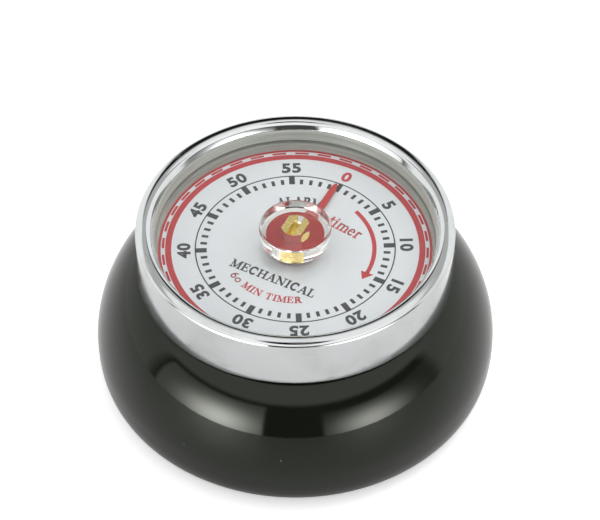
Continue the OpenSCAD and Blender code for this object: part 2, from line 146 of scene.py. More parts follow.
def carve(obj, makeCutter):
    # cuts one solid with another and keeps only the result
    bm = bmesh.new()
    makeCutter(bm)
    cutter = finishMesh("cutter", bm, None)
    addToScene(cutter)
    addToScene(obj)
    step = obj.modifiers.new("cut", "BOOLEAN")
    step.operation, step.solver, step.object = "DIFFERENCE", "EXACT", cutter
    bpy.context.view_layer.update()
    result = bpy.data.meshes.new_from_object(obj.evaluated_get(bpy.context.evaluated_depsgraph_get()))
    obj.modifiers.clear()
    obj.data = result
    smoothFaces(result)
    bpy.context.scene.collection.objects.unlink(obj)
    bpy.data.objects.remove(cutter)


def bevelEdges(obj, width, segments):
    step = obj.modifiers.new("eased edges", "BEVEL")
    step.width, step.segments = width * mm, segments
    step.limit_method, step.angle_limit = "ANGLE", math.radians(35)
    step.harden_normals = True
    step.use_clamp_overlap = True


def clockPoint(angle, radius):
    # angles on the dial run clockwise from the far side
    a = math.radians(90 - angle)
    return Vector((radius * math.cos(a), radius * math.sin(a)))


cutBelow, cutAbove = 20, 40     # cutters reach past the pieces that they cut, downwards and upwards


# shader nodes

def feed(tree, socket, value):
    # a socket takes a link or a plain value
    if isinstance(value, bpy.types.NodeSocket):
        tree.links.new(value, socket)
    else:
        socket.default_value = value


def addNode(tree, kind, sockets=None, **settings):
    node = tree.nodes.new("ShaderNode" + kind)
    for key, value in settings.items():
        setattr(node, key, value)
    for key, value in (sockets or {}).items():
        feed(tree, node.inputs[key], value)
    return node


def newGroup(name, inputs, outputs):
    # every socket of these groups is a number
    tree = bpy.data.node_groups.new(name, "ShaderNodeTree")
    for label, value in inputs.items():
        socket = tree.interface.new_socket(name=label, in_out="INPUT", socket_type="NodeSocketFloat")
        socket.default_value = value
    for label in outputs:
        tree.interface.new_socket(name=label, in_out="OUTPUT", socket_type="NodeSocketFloat")
    return tree, tree.nodes.new("NodeGroupInput").outputs, tree.nodes.new("NodeGroupOutput").inputs


def useGroup(tree, group, sockets):
    return addNode(tree, "Group", sockets, node_tree=group).outputs


def math2(tree, operation, first, second=0.0, clamp=False):
    node = addNode(tree, "Math", {0: first, 1: second}, operation=operation, use_clamp=clamp)
    return node.outputs[0]


def plus(tree, first, second):
    return math2(tree, "ADD", first, second)


def times(tree, first, second):
    return math2(tree, "MULTIPLY", first, second)


def remap(tree, value, low, high, toLow, toHigh, curve="SMOOTHSTEP"):
    sockets = dict(enumerate((value, low, high, toLow, toHigh)))
    return addNode(tree, "MapRange", sockets, interpolation_type=curve).outputs[0]


def mixColour(tree, factor, first, second):
    node = addNode(tree, "Mix", {0: factor}, data_type="RGBA")
    for index, colour in ((6, first), (7, second)):
        feed(tree, node.inputs[index], (*colour, 1) if isinstance(colour, tuple) else colour)
    return node.outputs[2]


def noise(tree, sockets):
    return addNode(tree, "TexNoise", sockets).outputs["Fac"]


def makeFineGrain():
    # even noise a fraction of a millimetre across, as height and as a mask
    tree, into, out = newGroup("fineGrain", {"Size": 0.2, "Contrast": 1.0}, ["Grain", "Cloud"])
    where = addNode(tree, "TexCoord").outputs["Object"]
    pitch = math2(tree, "DIVIDE", 1 / mm, into["Size"])
    fine = noise(tree, {"Vector": where, "Scale": pitch, "Detail": 3.0})
    broad = noise(tree, {"Vector": where, "Scale": times(tree, pitch, 0.03), "Detail": 4.0})
    spread = times(tree, math2(tree, "SUBTRACT", fine, 0.5), into["Contrast"])
    tree.links.new(math2(tree, "ADD", spread, 0.5, True), out["Grain"])
    tree.links.new(remap(tree, broad, 0.38, 0.64, 0, 1), out["Cloud"])
    return tree


def makeTurningMarks():
    # rings left by a lathe or a spinning tool, broken up along their length
    tree, into, out = newGroup("turningMarks", {"Pitch": 0.1, "Breaks": 4.0}, ["Lines", "Bands"])
    where = addNode(tree, "TexCoord").outputs["Object"]
    place = addNode(tree, "SeparateXYZ", {"Vector": where}).outputs
    flat = addNode(tree, "CombineXYZ", {"X": place["X"], "Y": place["Y"]}).outputs[0]
    away = addNode(tree, "VectorMath", {0: flat}, operation="LENGTH").outputs["Value"]
    around = addNode(tree, "VectorMath", {0: flat}, operation="NORMALIZE").outputs["Vector"]
    tilt = addNode(tree, "VectorMath", {0: around, "Scale": into["Breaks"]}, operation="SCALE")
    tilt = addNode(tree, "SeparateXYZ", {"Vector": tilt.outputs[0]}).outputs
    depth = math2(tree, "DIVIDE", times(tree, plus(tree, away, place["Z"]), 1 / mm), into["Pitch"])
    for label, stretch, detail in (("Lines", 1.0, 2.0), ("Bands", 0.16, 1.0)):
        along = times(tree, depth, stretch)
        space = addNode(tree, "CombineXYZ", {"X": tilt["X"], "Y": tilt["Y"], "Z": along}).outputs[0]
        cuts = noise(tree, {"Vector": space, "Scale": 1.0, "Detail": detail})
        tree.links.new(remap(tree, cuts, 0.3, 0.7, 0, 1), out[label])
    return tree


def makeHandling():
    # wiped patches, fine hairline scratches and settled dust
    tree, into, out = newGroup("handling", {"Patch size": 14.0, "Dust size": 1.6},
                               ["Wiped", "Scratches", "Dust"])
    where = addNode(tree, "TexCoord").outputs["Object"]
    patch = noise(tree, {"Vector": where, "Scale": math2(tree, "DIVIDE", 1 / mm, into["Patch size"]),
                         "Detail": 5.0, "Roughness": 0.6, "Distortion": 0.6})
    hairs = []
    for turnBy in ((0.3, 0.9, 0.4), (1.7, 0.2, 2.1)):
        aim = addNode(tree, "Mapping", {"Vector": where, "Rotation": turnBy, "Scale": (1, 0.03, 1)})
        streak = noise(tree, {"Vector": aim.outputs[0], "Scale": 2600.0, "Detail": 1.0})
        hairs.append(remap(tree, streak, 0.70, 0.74, 0, 1))
    specks = addNode(tree, "TexVoronoi", {
        "Vector": where, "Scale": math2(tree, "DIVIDE", 1 / mm, into["Dust size"])})
    chosen = addNode(tree, "SeparateColor", {"Color": specks.outputs["Color"]})
    dot = remap(tree, specks.outputs["Distance"], 0.04, 0.09, 1, 0)
    rare = remap(tree, chosen.outputs[0], 0.93, 0.94, 0, 1)
    tree.links.new(remap(tree, patch, 0.42, 0.66, 0, 1), out["Wiped"])
    tree.links.new(math2(tree, "MAXIMUM", *hairs), out["Scratches"])
    tree.links.new(times(tree, dot, rare), out["Dust"])
    return tree


def makeEdgeWear():
    # a broken mask where the surface turns outwards sharply
    tree, into, out = newGroup("edgeWear", {"Reach": 0.54}, ["Edge"])
    where = addNode(tree, "TexCoord").outputs["Object"]
    bend = addNode(tree, "NewGeometry").outputs["Pointiness"]
    rough = noise(tree, {"Vector": where, "Scale": 900.0, "Detail": 4.0})
    worn = remap(tree, bend, into["Reach"], plus(tree, into["Reach"], 0.06), 0, 1)
    broken = remap(tree, rough, 0.4, 0.6, 0.2, 1.0)
    tree.links.new(times(tree, worn, broken), out["Edge"])
    return tree


grainGroup = makeFineGrain()
turningGroup = makeTurningMarks()
handlingGroup = makeHandling()
edgeGroup = makeEdgeWear()
print("shader groups made")


def grain(tree, size, contrast=1.0):
    return useGroup(tree, grainGroup, {"Size": size, "Contrast": contrast})


def handling(tree, patchSize, dustSize):
    return useGroup(tree, handlingGroup, {"Patch size": patchSize, "Dust size": dustSize})


def newMaterial(name):
    material = bpy.data.materials.new(name)
    material.use_nodes = True
    tree = material.node_tree
    tree.nodes.clear()
    return material, tree, tree.nodes.new("ShaderNodeOutputMaterial").inputs["Surface"]


def bump(tree, height, distance, under=None):
    sockets = {"Height": height, "Distance": distance * mm, "Strength": 1.0}
    if under:
        sockets["Normal"] = under
    return addNode(tree, "Bump", sockets).outputs["Normal"]


def principled(tree, surface, sockets):
    tree.links.new(addNode(tree, "BsdfPrincipled", sockets).outputs[0], surface)


# black stoved enamel: deep gloss with a faint orange peel, a few dust specks and wiped patches
enamel = {"colour": (0.0044, 0.0058, 0.0032), "dust": (0.10, 0.10, 0.09), "gloss": 0.045, "wiped": 0.075,
          "peel": 1.1, "ior": 1.33, "tint": (0.97, 1.0, 0.9, 1)}
caseEnamel, tree, surface = newMaterial("caseEnamel")
touch = handling(tree, 16.0, 2.4)
peel = grain(tree, enamel["peel"])
gloss = plus(tree, remap(tree, touch["Wiped"], 0, 1, enamel["gloss"], enamel["wiped"]),
             times(tree, touch["Dust"], 0.4))
principled(tree, surface, {
    "Base Color": mixColour(tree, touch["Dust"], enamel["colour"], enamel["dust"]),
    "Roughness": plus(tree, gloss, times(tree, touch["Scratches"], 0.04)),
    "IOR": enamel["ior"], "Specular Tint": enamel["tint"],
    "Normal": bump(tree, peel["Grain"], 0.0016)})

# bright plating: mirror gloss broken by fine turning marks and satin patches
plating = {"bright": (0.50, 0.515, 0.515), "dull": (0.41, 0.425, 0.42), "mirror": 0.05, "satin": 0.2}
bezelChrome, tree, surface = newMaterial("bezelChrome")
marks = useGroup(tree, turningGroup, {"Pitch": 0.09, "Breaks": 5.0})
touch = handling(tree, 11.0, 1.9)
grit = grain(tree, 0.12, 1.4)
satin = times(tree, touch["Wiped"], remap(tree, marks["Lines"], 0, 1, 0.45, 1.0))
dulled = math2(tree, "MAXIMUM", times(tree, satin, 0.7), touch["Dust"])
principled(tree, surface, {
    "Base Color": mixColour(tree, dulled, plating["bright"], plating["dull"]),
    "Metallic": 1.0,
    "Roughness": plus(tree, remap(tree, satin, 0, 1, plating["mirror"], plating["satin"]),
                      times(tree, touch["Scratches"], 0.06)),
    "Normal": bump(tree, grit["Grain"], 0.0012, bump(tree, marks["Lines"], 0.0006))})

# grey satin lacquer on the two rings inside the bezel
lacquer = {"light": (0.45, 0.475, 0.43), "dark": (0.32, 0.34, 0.305), "roughness": (0.24, 0.38)}
ringGrey, tree, surface = newMaterial("ringGrey")
marks = useGroup(tree, turningGroup, {"Pitch": 0.16, "Breaks": 1.6})
grit = grain(tree, 0.16, 1.2)
tone = plus(tree, times(tree, marks["Bands"], 0.6), times(tree, marks["Lines"], 0.4))
principled(tree, surface, {
    "Base Color": mixColour(tree, tone, lacquer["dark"], lacquer["light"]),
    "Roughness": remap(tree, marks["Lines"], 0, 1, *lacquer["roughness"]),
    "Normal": bump(tree, marks["Lines"], 0.006, bump(tree, grit["Grain"], 0.003))})


def clearMaterial(name, tint, wave, dustShare):
    # clear plastic lets light through to what is under it, so its shadow is only its tint
    material, tree, surface = newMaterial(name)
    touch = handling(tree, 7.0, 1.5)
    flow = grain(tree, wave[0])
    dusty = times(tree, touch["Dust"], dustShare)
    glass = addNode(tree, "BsdfPrincipled", {
        "Base Color": mixColour(tree, dusty, tint, (0.5, 0.5, 0.48)),
        "Roughness": times(tree, touch["Dust"], 0.25),
        "IOR": 1.49, "Transmission Weight": 1.0,
        "Normal": bump(tree, flow["Grain"], wave[1])})
    through = addNode(tree, "BsdfTransparent", {"Color": (*tint, 1)})
    either = addNode(tree, "MixShader", {
        0: addNode(tree, "LightPath").outputs["Is Shadow Ray"],
        1: glass.outputs[0], 2: through.outputs[0]})
    tree.links.new(either.outputs[0], surface)
    return material


lensClear = clearMaterial("lensClear", (0.985, 0.992, 0.99), (5.0, 0.0006), 0.5)
knobClear = clearMaterial("knobClear", (0.975, 0.965, 0.925), (2.2, 0.004), 0.4)

# dial lacquer: cool white with a soft mottling too faint to read as dirt
dialPaint = {"white": (0.73, 0.755, 0.775), "shade": (0.685, 0.71, 0.732), "roughness": (0.42, 0.5)}
dialWhite, tree, surface = newMaterial("dialWhite")
grit = grain(tree, 0.18)
cloud = grain(tree, 0.5)
mottle = times(tree, cloud["Cloud"], 0.7)
principled(tree, surface, {
    "Base Color": mixColour(tree, mottle, dialPaint["white"], dialPaint["shade"]),
    "Roughness": remap(tree, cloud["Cloud"], 0, 1, *dialPaint["roughness"]),
    "Normal": bump(tree, grit["Grain"], 0.004)})


def inkMaterial(name, solid, thin):
    # screen-printed ink: dense, with pinholes where it lies thin
    material, tree, surface = newMaterial(name)
    grit = grain(tree, 0.11, 1.5)
    principled(tree, surface, {
        "Base Color": mixColour(tree, remap(tree, grit["Grain"], 0.62, 0.9, 0.0, 0.75), solid, thin),
        "Roughness": remap(tree, grit["Grain"], 0.2, 0.8, 0.3, 0.5),
        "Specular IOR Level": 0.25,
        "Normal": bump(tree, grit["Grain"], 0.003)})
    return material


inkBlack = inkMaterial("inkBlack", (0.024, 0.028, 0.028), (0.13, 0.135, 0.135))
inkRed = inkMaterial("inkRed", (0.50, 0.020, 0.027), (0.62, 0.17, 0.17))


def sprayedRed(name, red, edgeTint, roughness):
    # sprayed paint, a little thin on the edges
    material, tree, surface = newMaterial(name)
    grit = grain(tree, 0.22)
    edge = useGroup(tree, edgeGroup, {"Reach": 0.53})
    principled(tree, surface, {
        "Base Color": mixColour(tree, times(tree, edge["Edge"], 0.6), red, edgeTint),
        "Roughness": remap(tree, grit["Grain"], 0.3, 0.7, roughness - 0.04, roughness + 0.06),
        "Specular IOR Level": 0.25,
        "Normal": bump(tree, grit["Grain"], 0.004)})
    return material


handRed = sprayedRed("handRed", (0.47, 0.022, 0.020), (0.60, 0.10, 0.07), 0.3)
backingRed = sprayedRed("backingRed", (0.32, 0.010, 0.009), (0.38, 0.03, 0.025), 0.4)


def metalMaterial(name, bright, dark, roughness, pitch):
    # worked metal: turning marks, wiped patches and brighter edges
    material, tree, surface = newMaterial(name)
    marks = useGroup(tree, turningGroup, {"Pitch": pitch, "Breaks": 3.0})
    touch = handling(tree, 6.0, 1.4)
    edge = useGroup(tree, edgeGroup, {"Reach": 0.53})
    stain = times(tree, touch["Wiped"], remap(tree, marks["Bands"], 0, 1, 0.4, 1.0))
    body = mixColour(tree, times(tree, stain, 0.8), bright, dark)
    lifted = tuple(min(1.0, c * 1.15) for c in bright)
    principled(tree, surface, {
        "Base Color": mixColour(tree, edge["Edge"], body, lifted),
        "Metallic": 1.0,
        "Roughness": plus(tree, remap(tree, stain, 0, 1, roughness, roughness + 0.14),
                          times(tree, touch["Scratches"], 0.08)),
        "IOR": 1.45,
        "Normal": bump(tree, marks["Lines"], 0.002)})
    return material


arborBrass = metalMaterial("arborBrass", (0.80, 0.66, 0.27), (0.62, 0.48, 0.17), 0.22, 0.05)
sheetBrass = metalMaterial("sheetBrass", (0.76, 0.62, 0.30), (0.58, 0.45, 0.20), 0.26, 0.3)
platedSteel = metalMaterial("platedSteel", (0.66, 0.67, 0.68), (0.50, 0.51, 0.50), 0.24, 0.12)
springSteel = metalMaterial("springSteel", (0.30, 0.34, 0.42), (0.22, 0.23, 0.27), 0.22, 0.2)
hardSteel = metalMaterial("hardSteel", (0.58, 0.58, 0.59), (0.42, 0.42, 0.42), 0.2, 0.08)
bellPlate = metalMaterial("bellPlate", (0.78, 0.76, 0.72), (0.60, 0.58, 0.54), 0.12, 0.14)


def dullMaterial(name, deep, worn, roughness, grainSize, grainDepth):
    # moulded or pressed material: all-over texture, scuffed lighter on edges and in patches
    material, tree, surface = newMaterial(name)
    grit = grain(tree, grainSize, 1.3)
    touch = handling(tree, 9.0, 1.2)
    edge = useGroup(tree, edgeGroup, {"Reach": 0.52})
    rubbed = math2(tree, "MAXIMUM", times(tree, edge["Edge"], 0.6),
                   times(tree, touch["Scratches"], 0.5))
    scuff = math2(tree, "MAXIMUM", times(tree, touch["Wiped"], 0.25), rubbed)
    principled(tree, surface, {
        "Base Color": mixColour(tree, math2(tree, "MAXIMUM", scuff, touch["Dust"]), deep, worn),
        "Roughness": remap(tree, scuff, 0, 1, roughness, roughness - 0.12),
        "Normal": bump(tree, grit["Grain"], grainDepth)})
    return material


mouldedBlack = dullMaterial("mouldedBlack", (0.014, 0.014, 0.013), (0.05, 0.05, 0.048), 0.5, 0.25, 0.02)
footRubber = dullMaterial("footRubber", (0.022, 0.022, 0.021), (0.06, 0.058, 0.055), 0.78, 0.16, 0.012)
ferrite = dullMaterial("ferrite", (0.045, 0.045, 0.047), (0.11, 0.11, 0.112), 0.42, 0.3, 0.012)
print("materials made")

# case: one spun bun with a collar that the bezel slips over, and three bosses for the cover's screws
case = {"footR": 29.2, "footZ": 0.4, "wideR": 35.0, "wideZ": 8.4, "shoulderR": 24.55, "shoulderZ": 24.8,
        "lowerFullness": 2.9, "upperFullness": 1.78, "wall": 1.0, "collarR": 24.95, "collarZ": 27.4,
        "flangeR": 24.0, "flangeZ": (1.5, 2.5), "steps": 44, "bossRing": 25.6, "bossAngles": (90, 210, 330),
        "bossR": 2.2, "bossBore": 0.85, "bossHigh": 2.8}


def bunCurve(r0, z0, r1, z1, fullness):
    # quarter of a rounded square from (r0, z0) to (r1, z1)
    turns = [math.radians(90 * i / case["steps"]) for i in range(case["steps"] + 1)]
    return [(r0 + (r1 - r0) * math.sin(a) ** (2 / fullness), z1 + (z0 - z1) * math.cos(a) ** (2 / fullness))
            for a in turns]


def bossPlaces():
    turns = [math.radians(angle) for angle in case["bossAngles"]]
    return [(case["bossRing"] * math.cos(a), case["bossRing"] * math.sin(a)) for a in turns]


wide = (case["wideR"], case["wideZ"])
innerWide = (case["wideR"] - case["wall"], case["wideZ"])
outer = bunCurve(case["footR"], case["footZ"], *wide, case["lowerFullness"])
outer += bunCurve(case["shoulderR"], case["shoulderZ"], *wide, case["upperFullness"])[-2::-1]
innerLow = bunCurve(case["footR"] - case["wall"], case["footZ"], *innerWide, case["lowerFullness"])
innerHigh = bunCurve(case["collarR"] - case["wall"] - 0.1, case["shoulderZ"] - case["wall"], *innerWide,
                     case["upperFullness"])
lowZ, highZ = case["flangeZ"]
below = [p for p in innerLow if p[1] < lowZ - 0.02]
above = [p for p in innerLow if p[1] > highZ + 0.02]
flange = [(above[0][0] - 0.02, highZ), (case["flangeR"], highZ), (case["flangeR"], lowZ),
          (below[-1][0] + 0.02, lowZ)]
collar = outline([(case["collarR"], case["shoulderZ"]), (case["collarR"], case["collarZ"]),
                  (case["collarR"] - case["wall"], case["collarZ"])])
caseLoop = outer + collar + innerHigh[:-1] + above[::-1] + flange + below[::-1]
link(turned("caseSkin", caseLoop, caseEnamel, 256, 40), "case", ["body_shell"])
bosses = bmesh.new()
bossTop = highZ + case["bossHigh"]
for at in bossPlaces():
    turnLoop(bosses, [(case["bossBore"], highZ), (case["bossR"], highZ), (case["bossR"], bossTop),
                      (case["bossBore"], bossTop)], 48, at)
link(finishMesh("coverBosses", bosses, caseEnamel), "case")
print("case done")

# bezel: rolled ring with a gently domed top, a tighter inner bead and a rolled lip over the lens ring
bezel = {"bore": 25.05, "outerR": 27.65, "lowZ": 24.9, "topZ": 34.6, "footEase": 0.22, "cornerR": 0.75,
         "hold": 0.05, "domeR": 3.0, "domeFrom": 66, "beadR": 1.3, "beadTo": 140, "lipAt": (24.95, 33.35),
         "lipR": 0.35, "lipZ": 33.25}
lean = math.radians(bezel["domeFrom"])
domeAt = (bezel["outerR"] - bezel["cornerR"] - (bezel["domeR"] - bezel["cornerR"]) * math.cos(lean),
          bezel["topZ"] - bezel["domeR"])
cornerAt = (bezel["outerR"] - bezel["cornerR"],
            domeAt[1] + (bezel["domeR"] - bezel["cornerR"]) * math.sin(lean))
footAt = (bezel["outerR"] - bezel["footEase"], bezel["lowZ"] + bezel["footEase"])
beadAt = (domeAt[0], bezel["topZ"] - bezel["beadR"])
bezelLoop = [(bezel["bore"], bezel["lowZ"])]
bezelLoop += arcPoints(footAt, bezel["footEase"], -90, 0, 6)
bezelLoop += [(bezel["outerR"], cornerAt[1] - bezel["hold"])]
bezelLoop += arcPoints(cornerAt, bezel["cornerR"], 0, bezel["domeFrom"], 12)
bezelLoop += arcPoints(domeAt, bezel["domeR"], bezel["domeFrom"], 90, 10)[1:]
bezelLoop += arcPoints(beadAt, bezel["beadR"], 90, bezel["beadTo"], 10)[1:]
bezelLoop += arcPoints(bezel["lipAt"], bezel["lipR"], bezel["beadTo"], 180, 5)
bezelLoop += [(bezel["lipAt"][0] - bezel["lipR"], bezel["lipZ"]), (bezel["bore"], bezel["lipZ"])]
link(turned("bezelRing", bezelLoop, bezelChrome, 288, 40), "case", ["bezel"])

# grey rings above and below the lens: (bore, height) at the foot and at the top, and where the shallow
# turned steps are
rings = {"outerR": 25.02, "stepDepth": 0.035, "stepHalf": 0.05, "ease": 0.06, "easeIn": 0.01,
         "lensRing": ((24.3, 31.13), (24.5, 33.25), (31.5, 32.75)),
         "dialWall": ((23.75, 28.65), (24.1, 30.07), (28.95, 29.75))}


def steppedRing(name, node):
    (lowR, low), (highR, high), stepHeights = rings[name]
    ease, easeIn, half = rings["ease"], rings["easeIn"], rings["stepHalf"]
    slope = (highR - lowR) / (high - low)
    loop = [(rings["outerR"], low), (rings["outerR"], high), (highR + ease, high),
            (highR - easeIn, high - ease)]
    for z in sorted(stepHeights, reverse=True):
        loop += [(lowR + slope * (z + side - low) + deep, z + side)
                 for side, deep in ((half, 0), (0, rings["stepDepth"]), (-half, 0))]
    loop += [(lowR + easeIn, low + ease), (lowR + ease, low)]
    link(turned(name, loop[::-1], ringGrey, 256, 25), "case", [node])


steppedRing("lensRing", "lens_retainer")
steppedRing("dialWall", "dial_spacer")

# lens: flat clear disc with eased edges, bored for the arbor
lens = {"outerR": 25.0, "holeR": 2.75, "lowZ": 30.1, "topZ": 31.1, "ease": 0.08}
link(turned("lensDisc", flatRing(lens), lensClear, 256), "case", ["lens"])
print("bezel, rings and lens done")

# dial and its print
dial = {"outerR": 25.0, "holeR": 2.8, "lowZ": 28.25, "topZ": 28.65, "ease": 0.05, "inkHigh": 0.022,
        "inkSunk": 0.008, "inkStep": 1.5, "zeroAt": 28.0, "circleR": 17.33, "circleWidth": 0.23,
        "tickFootR": 15.35, "longTick": (17.3, 1.02), "shortTick": (16.52, 0.58), "zeroTickWidth": 0.82,
        "numeralR": 19.33, "numeralHigh": 2.38}
link(turned("dialFace", flatRing(dial), dialWhite, 256), "case", ["dial_plate"])
inkLow, inkTop = dial["topZ"] - dial["inkSunk"], dial["topZ"] + dial["inkHigh"]


def inkBand(bm, r0, r1, start=0, end=360):
    # part of a ring between two clockwise angles, or a whole ring
    whole = end - start >= 360
    steps = max(2, round((end - start) / dial["inkStep"]))
    cells = []
    for k in range(steps + (0 if whole else 1)):
        angle = start + (end - start) * k / steps
        cells.append([bm.verts.new((*clockPoint(angle, r), z))
                      for r, z in ((r0, inkLow), (r1, inkLow), (r1, inkTop), (r0, inkTop))])
    for k in range(steps):
        here, there = cells[k], cells[(k + 1) % len(cells)]
        for i in range(4):
            j = (i + 1) % 4
            bm.faces.new([here[i], there[i], there[j], here[j]])
    if not whole:
        bm.faces.new(cells[0])
        bm.faces.new(cells[-1][::-1])


def inkLine(bm, radius, width, start=0, end=360):
    inkBand(bm, radius - width / 2, radius + width / 2, start, end)


def inkBar(bm, angle, r0, r1, width):
    along, across = clockPoint(angle, 1), clockPoint(angle + 90, width / 2)
    prism(bm, [along * r0 - across, along * r1 - across, along * r1 + across, along * r0 + across],
          inkLow, inkTop)


def letterMesh(text, high, weight, spacing, narrow):
    # letters from the program's own font, centred, feet at 0 and capitals `high` tall
    curve = bpy.data.curves.new("letters", "FONT")
    curve.body, curve.size, curve.extrude = text, 1.0, 0.5
    curve.offset, curve.space_character, curve.resolution_u = weight, spacing, 4
    holder = bpy.data.objects.new("letters", curve)
    addToScene(holder)
    bpy.context.view_layer.update()
    mesh = bpy.data.meshes.new_from_object(holder.evaluated_get(bpy.context.evaluated_depsgraph_get()))
    bpy.data.objects.remove(holder)
    bpy.data.curves.remove(curve)
    xs, ys = [v.co.x for v in mesh.vertices], [v.co.y for v in mesh.vertices]
    middle, lowest = (min(xs) + max(xs)) / 2, min(ys)
    scale = high / (max(ys) - lowest)
    for v in mesh.vertices:
        v.co = ((v.co.x - middle) * scale * narrow, (v.co.y - lowest) * scale, v.co.z + 0.5)
    return mesh


def inkLetters(bm, mesh, place):
    # place puts a point (x, y) of the flat lettering on the dial
    first = len(bm.verts)
    bm.from_mesh(mesh)
    bm.verts.ensure_lookup_table()
    for v in bm.verts[first:]:
        spot = place(v.co.x, v.co.y)
        v.co = (spot[0], spot[1], inkLow + (inkTop - inkLow) * v.co.z)
    bpy.data.meshes.remove(mesh)


def upright(angle, radius, high):
    # letters stand on a tangent, heads outwards
    along, across = clockPoint(angle, 1), clockPoint(angle + 90, 1)
    return lambda x, y: along * (radius - high / 2 + y) + across * x


def outwardArc(angle, radius, high):
    # letters bent round the centre, heads outwards
    return lambda x, y: clockPoint(angle + math.degrees(x / radius), radius - high / 2 + y)


def inward(angle, radius, high):
    # letters stand on a tangent, heads towards the centre
    along, across = clockPoint(angle, 1), clockPoint(angle - 90, 1)
    return lambda x, y: along * (radius + high / 2 - y) + across * x


def inwardArc(angle, radius, high):
    # letters bent round the centre, heads towards it
    return lambda x, y: clockPoint(angle - math.degrees(x / radius), radius + high / 2 - y)


def printPiece(name, draw, material):
    bm = bmesh.new()
    draw(bm)
    link(finishMesh(name, bm, material, 30), "case")


def drawTicks(bm):
    for minute in range(60):
        tipR, width = dial["shortTick"] if minute % 5 else dial["longTick"]
        if minute == 0:
            width = dial["zeroTickWidth"]
        inkBar(bm, dial["zeroAt"] + 6 * minute, dial["tickFootR"], tipR, width)


def drawNumerals(bm, minutes):
    for minute in minutes:
        mesh = letterMesh(str(minute), dial["numeralHigh"], 0.04, 1.1, 1.08)
        inkLetters(bm, mesh, upright(dial["zeroAt"] + 6 * minute, dial["numeralR"], dial["numeralHigh"]))


printPiece("scaleCircle", lambda bm: inkLine(bm, dial["circleR"], dial["circleWidth"]), inkBlack)
printPiece("scaleTicks", drawTicks, inkBlack)
printPiece("scaleNumerals", lambda bm: drawNumerals(bm, range(5, 60, 5)), inkBlack)
printPiece("scaleZero", lambda bm: drawNumerals(bm, [0]), inkRed)

track = {"wideBand": (21.52, 22.58), "outerBand": (23.34, 23.9), "dashR": 22.96, "dashWidth": 0.44,
         "dashes": 36, "dashSpan": 6.0}


def drawTrack(bm):
    for r0, r1 in (track["wideBand"], track["outerBand"]):
        inkBand(bm, r0, r1)


def drawDashes(bm):
    gap = 360 / track["dashes"]
    for k in range(track["dashes"]):
        centre = dial["zeroAt"] + gap * (k + 0.5)
        inkLine(bm, track["dashR"], track["dashWidth"], centre - track["dashSpan"] / 2,
                centre + track["dashSpan"] / 2)


printPiece("trackBands", drawTrack, inkRed)
printPiece("trackDashes", drawDashes, inkRed)

arrow = {"radius": 13.73, "width": 0.74, "from": 50.6, "to": 116.0, "headFrom": 115.4, "headTo": 122.8,
         "headWidth": 2.35, "tipShift": 0.1}


def drawArrow(bm):
    radius, half = arrow["radius"], arrow["headWidth"] / 2
    inkLine(bm, radius, arrow["width"], arrow["from"], arrow["to"])
    prism(bm, [clockPoint(arrow["headFrom"], radius - half),
               clockPoint(arrow["headTo"], radius - arrow["tipShift"]),
               clockPoint(arrow["headFrom"], radius + half)], inkLow, inkTop)


printPiece("turnArrow", drawArrow, inkRed)

# lettering drawn with a broad pen: capitals stand one unit high, and a stroke is a row of points and
# the pen's width; stems are thick, bars and feet are thin, and small letters and figures have pens
# of their own
thick, thin, small, figure, serif = 0.23, 0.11, 0.15, 0.17, 0.2
penOverlap = 0.2            # how far a stroke passes its ends, in pen widths
penLift = 0.0008            # each stroke lies a hair above the last, as wet ink does where strokes cross


def leg(x0, y0, x1, y1, width=thin):
    return ([(x0, y0), (x1, y1)], width)


def stem(x, low=0, high=1, width=thick):
    return leg(x, low, x, high, width)


def bar(y, left, right, width=thin):
    return leg(left, y, right, y, width)


def foot(x, y, reach=serif):
    return bar(y, x - reach, x + reach)


def bowl(x, y, across, high, start, end, width=thick):
    # part of an ellipse with its centre at (x, y)
    steps = max(6, round(abs(end - start) / 24))
    turns = [math.radians(start + (end - start) * k / steps) for k in range(steps + 1)]
    return ([(x + across * math.cos(a), y + high * math.sin(a)) for a in turns], width)


